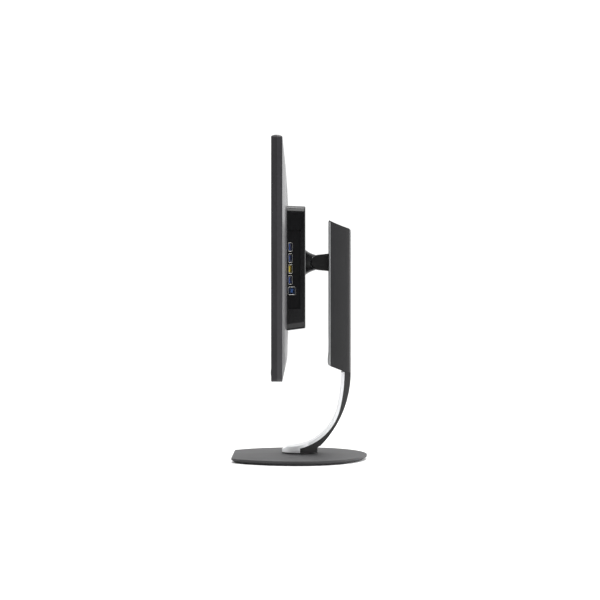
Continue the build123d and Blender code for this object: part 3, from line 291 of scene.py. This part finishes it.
# ---------------------------------------------------------------- arm and hinge
# The arm and carriage are die-cast and powder coated black. The flared hinge cover is a smooth ABS moulding
# that turns with the head.
arm_coat, arm_shader = new_material("fine_black_powder_coat", IOR=1.5, Specular_IOR_Level=0.2)
surface(arm_coat, arm_shader, [(0.3, "#090909"), (0.7, "#0d0d0d")], (0.42, 0.5), 1.2 * MM, 0.06 * MM)
dress(arm_coat, "hinge_arm", "lift_carriage")

hinge_abs, hinge_shader = new_material("smooth_abs_black", IOR=1.5, Specular_IOR_Level=0.35)
surface(hinge_abs, hinge_shader, [(0.3, "#0d0d0e"), (0.7, "#121213")], (0.34, 0.4), 1.6 * MM, 0.02 * MM)
dress(hinge_abs, "hinge_cover")

# ---------------------------------------------------------------- screen head
# The bezel is a large ABS moulding in charcoal with a fine leather-like tool grain. The grain is about
# 0.4 mm, drawn at 1.8 mm so that it shows.
head_abs, head_shader = new_material("grained_abs_dark_grey", IOR=1.5, Specular_IOR_Level=0.35)
surface(head_abs, head_shader, [(0.3, "#111013"), (0.7, "#161519")], (0.42, 0.5), 1.8 * MM, 0.06 * MM)
dress(head_abs, "front_bezel")

# The rear cover is polished in the tool rather than grained, so its shallow slopes shine at a low angle.
cover_abs, cover_abs_shader = new_material("satin_abs_dark_grey", IOR=1.5)
surface(
    cover_abs,
    cover_abs_shader,
    [(0.2, "#232225"), (0.8, "#28272a")],
    (0.29, 0.33),
    1.8 * MM,
    0.01 * MM,
    300 * MM,
)
dress(cover_abs, "rear_cover")

# The housing is the same plastic in a smoother, blacker finish.
housing_abs, housing_abs_shader = new_material("satin_abs_black", IOR=1.5, Specular_IOR_Level=0.35)
surface(
    housing_abs,
    housing_abs_shader,
    [(0.3, "#08080a"), (0.7, "#0c0c0e")],
    (0.16, 0.21),
    1.6 * MM,
    0.02 * MM,
)
dress(housing_abs, "rear_housing")

# The socket panels are set into it, in a matt tool finish, and their tone is a little darker than the
# housing's as painted shade in the recess.
panel_abs, panel_abs_shader = new_material("matt_abs_black", IOR=1.5, Specular_IOR_Level=0.12)
surface(panel_abs, panel_abs_shader, [(0.3, "#060607"), (0.7, "#09090b")], (0.4, 0.5), 1.2 * MM, 0.04 * MM)
dress(panel_abs, "io_side_panel", "io_bottom_panel")

# The screen is glass under a matt anti-glare film. Switched off it is nearly black, with a soft haze.
screen, screen_shader = new_material("anti_glare_screen", IOR=1.5, Specular_IOR_Level=0.3)
surface(
    screen,
    screen_shader,
    [(0.3, "#08080a"), (0.7, "#0b0b0e")],
    (0.26, 0.3),
    1.2 * MM,
    0.01 * MM,
    200 * MM,
)
dress(screen, "lcd_panel")

film, film_shader = new_material("diffuser_film", IOR=1.5)
surface(film, film_shader, [(0.3, "#e7e7e8"), (0.7, "#eeeeef")], (0.5, 0.6), 2 * MM, 0.01 * MM)
dress(film, "optical_sheets")

acrylic, acrylic_shader = new_material("cast_acrylic", IOR=1.49, Transmission_Weight=0.8)
surface(acrylic, acrylic_shader, [(0.3, "#e9eff2"), (0.7, "#f1f5f7")], (0.05, 0.1), 4 * MM, 0.01 * MM)
dress(acrylic, "light_guide")

# ---------------------------------------------------------------- boards
# Glass-epoxy boards under green solder mask, with the copper tracks showing through as lighter lines.
board_mask, board_shader = new_material("green_solder_mask", IOR=1.5, Coat_Weight=0.4, Coat_Roughness=0.15)
board_place = add_node(board_mask, "ShaderNodeTexCoord").outputs["Object"]
board_turn = add_node(
    board_mask,
    "ShaderNodeMapping",
    {"Vector": board_place, "Rotation": (math.pi / 2, 0, 0)},
)
tracks = add_node(
    board_mask,
    "ShaderNodeTexBrick",
    {
        "Vector": board_turn.outputs["Vector"],
        "Color1": colour("#0f4a26"),
        "Color2": colour("#12522b"),
        "Mortar": colour("#2c7a45"),
        "Scale": 1.0,
        "Mortar Size": 0.4 * MM,
        "Brick Width": 9 * MM,
        "Row Height": 3 * MM,
    },
)
board_mask.node_tree.links.new(tracks.outputs["Color"], board_shader.inputs["Base Color"])
board_shader.inputs["Roughness"].default_value = 0.3
dress(board_mask, "main_board", "power_board", "usb_hub_board", "key_board", "led_strip")

# ---------------------------------------------------------------- sockets
# Each socket is a nickel-plated steel shell, folded from sheet, round a moulded tongue with gilt contacts.
# The tongues are blue, and yellow on the one that charges while the monitor sleeps.
nickel, nickel_shader = new_material("nickel_plated_shell", Metallic=1.0)
surface(nickel, nickel_shader, [(0.3, "#8b8a87"), (0.7, "#9d9c99")], (0.2, 0.3), 1 * MM, 0.01 * MM, 6 * MM)
dress(nickel, "usb_a_shells", "usb_b_shell", "video_sockets")

TONGUES = {
    "usb_a_tongues": ("blue_moulded_polyester", ("#0f2c66", "#143575")),
    "usb_b_tongue": ("blue_moulded_polyester_square", ("#0c3a72", "#10427e")),
    "fast_charge_tongue": ("yellow_moulded_polyester", ("#b09a20", "#bca62a")),
}
for node_name, (material_name, tones) in TONGUES.items():
    tongue, tongue_shader = new_material(material_name, IOR=1.55)
    surface(tongue, tongue_shader, [(0.3, tones[0]), (0.7, tones[1])], (0.35, 0.45), 1 * MM, 0.02 * MM)
    dress(tongue, node_name)

# The mouth of each side socket is flared outwards, so that a plug finds its way in. Every lip is pressed from
# the same nickel-plated sheet, 0.4 mm thick, and its inner edge sits in the wall of the shell.
MOUTH_X = 147.9 * MM
LIP_FLARE = 1.1 * MM  # how far the lip widens on each side
LIP_RISE = 1.3 * MM  # how far it stands out of the shell
LIP_SHEET = 0.4 * MM
FLAT_SOCKET_Y = -16.0 * MM
FLAT_SOCKET_Z = {"lip_top": 362.3, "lip_second": 344.0, "lip_charging": 326.0, "lip_low": 308.0}
SQUARE_SOCKET = (-13.6 * MM, 290.0 * MM)


def add_modifier(piece, kind, **settings):
    """Adds a modifier with these settings and applies it."""
    bpy.context.view_layer.objects.active = piece
    made = piece.modifiers.new(kind.lower(), kind)
    for name, value in settings.items():
        setattr(made, name, value)
    bpy.ops.object.modifier_apply(modifier=made.name)


def settle(piece, name, material, body):
    """Names a finished piece, puts its origin at zero, dresses it and fixes it to a body."""
    piece.name = name
    bpy.ops.object.transform_apply(location=True, rotation=True, scale=True)
    piece.data.materials.append(material)
    bpy.ops.object.shade_smooth_by_angle(angle=math.radians(30))
    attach(piece, body)


def flared_lip(name, y, z, wide, high, corner):
    """A rounded mouth of this width and height that widens outwards, seen along X."""
    bpy.ops.object.select_all(action="DESELECT")
    bpy.ops.mesh.primitive_plane_add(
        size=1.0,
        location=(MOUTH_X + LIP_RISE, y, z),
        rotation=(0, math.pi / 2, 0),
    )
    piece = bpy.context.object
    piece.scale = (high + 2 * LIP_FLARE, wide + 2 * LIP_FLARE, 1.0)
    bpy.ops.object.transform_apply(location=False, rotation=False, scale=True)
    bpy.ops.object.mode_set(mode="EDIT")
    bpy.ops.mesh.select_all(action="SELECT")
    bpy.ops.mesh.bevel(offset=corner, segments=5, affect="VERTICES")
    bpy.ops.mesh.inset(thickness=LIP_FLARE, depth=-LIP_RISE)
    bpy.ops.mesh.delete(type="FACE")
    bpy.ops.object.mode_set(mode="OBJECT")
    add_modifier(piece, "SOLIDIFY", thickness=LIP_SHEET, offset=0.0)
    add_modifier(piece, "BEVEL", width=0.12 * MM, segments=2)
    settle(piece, name, nickel, "display")


for lip_name, socket_z in FLAT_SOCKET_Z.items():
    flared_lip(lip_name, FLAT_SOCKET_Y, socket_z * MM, 5.2 * MM, 12.6 * MM, 1.8 * MM)
flared_lip("lip_square", *SQUARE_SOCKET, 10.6 * MM, 11.2 * MM, 2.4 * MM)

# Four gilt contacts lie along each flat tongue: stamped phosphor bronze strips with a rounded front end.
gilt, gilt_shader = new_material("gold_flashed_phosphor_bronze", Metallic=1.0)
surface(gilt, gilt_shader, [(0.3, "#c9a24a"), (0.7, "#dab75f")], (0.18, 0.28), 1 * MM, 0.005 * MM, 4 * MM)
CONTACT = (8.6 * MM, 0.24 * MM, 1.1 * MM)
CONTACT_X = 142.2 * MM
CONTACT_Y = -16.4 * MM
CONTACT_PITCH = 2.4 * MM
for lip_name, socket_z in FLAT_SOCKET_Z.items():
    first_z = socket_z * MM - 1.5 * CONTACT_PITCH
    bpy.ops.object.select_all(action="DESELECT")
    bpy.ops.mesh.primitive_cube_add(size=1.0, location=(CONTACT_X, CONTACT_Y, first_z), scale=CONTACT)
    contacts = bpy.context.object
    bpy.ops.object.transform_apply(location=False, rotation=False, scale=True)
    add_modifier(contacts, "BEVEL", width=0.1 * MM, segments=3)
    offset = (0.0, 0.0, CONTACT_PITCH)
    add_modifier(
        contacts,
        "ARRAY",
        count=4,
        use_relative_offset=False,
        use_constant_offset=True,
        constant_offset_displace=offset,
    )
    settle(contacts, lip_name.replace("lip", "contacts"), gilt, "display")

socket_black, socket_shader = new_material("glass_filled_nylon_black", IOR=1.53)
surface(socket_black, socket_shader, [(0.3, "#141414"), (0.7, "#1b1b1b")], (0.38, 0.5), 1 * MM, 0.04 * MM)
dress(socket_black, "ac_inlet", "rocker_frame", "power_rocker", "speakers")

brass, brass_shader = new_material("machined_brass", Metallic=1.0)
surface(brass, brass_shader, [(0.3, "#b99b52"), (0.7, "#c9aa60")], (0.22, 0.32), 1 * MM, 0.02 * MM, 8 * MM)
dress(brass, "vesa_inserts")

# ---------------------------------------------------------------- keys
# The keys are small ABS caps that stand just proud of the bezel, with a clear lens for the power light.
key_abs, key_shader = new_material("polished_abs_key", IOR=1.5)
surface(key_abs, key_shader, [(0.3, "#2a2a2c"), (0.7, "#303032")], (0.22, 0.28), 1 * MM, 0.01 * MM)
dress(key_abs, "menu_key", "input_key", "up_key", "down_key", "power_button", "release_button")

lens, lens_shader = new_material("clear_lamp_lens", IOR=1.49, Transmission_Weight=0.4)
surface(lens, lens_shader, [(0.3, "#c9d4de"), (0.7, "#d8e0e8")], (0.08, 0.14), 1 * MM, 0.01 * MM)
dress(lens, "power_led")

# A raised mark on each key is found by touch: one to four pips on the flat keys and a ring on the power
# button. They are pad-printed pale grey over the moulding.
pad_ink, ink_shader = new_material("pad_printed_ink", IOR=1.5)
surface(pad_ink, ink_shader, [(0.3, "#a7a8a9"), (0.7, "#b4b5b6")], (0.4, 0.5), 0.5 * MM, 0.01 * MM, 4 * MM)
KEY_FACE_Y = -45.8 * MM
KEY_Z = 161 * MM
PIP_RADIUS = 0.55 * MM
PIP_RISE = 0.3 * MM
PIP_PITCH = 2.2 * MM
RING_RADIUS = 2.4 * MM
RING_WIDTH = 0.6 * MM
POWER_X = 290 * MM
PIPS = {"menu_key": (206, 1), "input_key": (224, 2), "up_key": (242, 3), "down_key": (260, 4)}
for key_name, (key_x, pip_count) in PIPS.items():
    first_x = key_x * MM - (pip_count - 1) * PIP_PITCH / 2
    bpy.ops.object.select_all(action="DESELECT")
    bpy.ops.mesh.primitive_cylinder_add(
        vertices=24,
        radius=PIP_RADIUS,
        depth=2 * PIP_RISE,
        location=(first_x, KEY_FACE_Y, KEY_Z),
        rotation=(math.pi / 2, 0, 0),
    )
    pips = bpy.context.object
    bpy.ops.object.transform_apply(location=False, rotation=True, scale=False)
    add_modifier(pips, "BEVEL", width=0.15 * MM, segments=3)
    add_modifier(
        pips,
        "ARRAY",
        count=pip_count,
        use_relative_offset=False,
        use_constant_offset=True,
        constant_offset_displace=(PIP_PITCH, 0.0, 0.0),
    )
    settle(pips, key_name.replace("key", "pips"), pad_ink, key_name)

bpy.ops.object.select_all(action="DESELECT")
bpy.ops.mesh.primitive_circle_add(
    vertices=48,
    radius=RING_RADIUS,
    fill_type="NGON",
    location=(POWER_X, KEY_FACE_Y, KEY_Z),
    rotation=(math.pi / 2, 0, 0),
)
power_ring = bpy.context.object
bpy.ops.object.transform_apply(location=False, rotation=True, scale=False)
bpy.ops.object.mode_set(mode="EDIT")
bpy.ops.mesh.select_all(action="SELECT")
bpy.ops.mesh.inset(thickness=RING_WIDTH)
bpy.ops.mesh.delete(type="FACE")
bpy.ops.object.mode_set(mode="OBJECT")
add_modifier(power_ring, "SOLIDIFY", thickness=2 * PIP_RISE, offset=0.0)
add_modifier(power_ring, "BEVEL", width=0.12 * MM, segments=2)
settle(power_ring, "power_ring", pad_ink, "power_button")

# ---------------------------------------------------------------- speaker cloth
# Behind the slots of each speaker lies a strip of woven polyester, stretched over a folded edge and glued to
# the inside of the cover. Its weave is about 0.5 mm, drawn at 1 mm so that it shows.
cloth, cloth_shader = new_material("woven_polyester_black", IOR=1.45, Sheen_Weight=0.2)
cloth_place = add_node(cloth, "ShaderNodeTexCoord").outputs["Object"]
WEAVE_SCALE = 0.314 / MM  # a band every millimetre
warp = add_node(
    cloth,
    "ShaderNodeTexWave",
    {"Vector": cloth_place, "Scale": WEAVE_SCALE},
    bands_direction="X",
)
weft = add_node(
    cloth,
    "ShaderNodeTexWave",
    {"Vector": cloth_place, "Scale": WEAVE_SCALE},
    bands_direction="Z",
)
weave = add_node(
    cloth,
    "ShaderNodeMath",
    {0: warp.outputs["Fac"], 1: weft.outputs["Fac"]},
    operation="MULTIPLY",
).outputs[0]
cloth_tone = ramp(cloth, weave, [(0.1, "#101011"), (0.9, "#2a2a2c")])
cloth.node_tree.links.new(cloth_tone, cloth_shader.inputs["Base Color"])
threads = add_node(cloth, "ShaderNodeBump", {"Height": weave, "Strength": 0.7, "Distance": 0.2 * MM})
cloth.node_tree.links.new(threads.outputs["Normal"], cloth_shader.inputs["Normal"])
cloth_shader.inputs["Roughness"].default_value = 0.85
SPEAKER_X = 225 * MM
SPEAKER_Z = 176 * MM
CLOTH_SIZE = (72 * MM, 16 * MM)
CLOTH_Y = -26.4 * MM
CLOTH_FOLD = 0.5 * MM
CLOTH_THICKNESS = 0.25 * MM
for side, cloth_name in ((-1, "speaker_cloth_near_lock"), (1, "speaker_cloth_near_sockets")):
    bpy.ops.object.select_all(action="DESELECT")
    bpy.ops.mesh.primitive_grid_add(
        x_subdivisions=24,
        y_subdivisions=6,
        size=1.0,
        location=(side * SPEAKER_X, CLOTH_Y, SPEAKER_Z),
        rotation=(-math.pi / 2, 0, 0),
    )
    strip = bpy.context.object
    strip.scale = (*CLOTH_SIZE, 1.0)
    bpy.ops.object.transform_apply(location=False, rotation=True, scale=True)
    bpy.ops.object.mode_set(mode="EDIT")
    bpy.ops.mesh.select_all(action="SELECT")
    bpy.ops.mesh.region_to_loop()
    bpy.ops.mesh.extrude_edges_move(TRANSFORM_OT_translate={"value": (0.0, -CLOTH_FOLD, 0.0)})
    bpy.ops.object.mode_set(mode="OBJECT")
    add_modifier(strip, "SOLIDIFY", thickness=CLOTH_THICKNESS, offset=0.0)
    add_modifier(strip, "BEVEL", width=0.1 * MM, segments=2)
    settle(strip, cloth_name, cloth, "display")
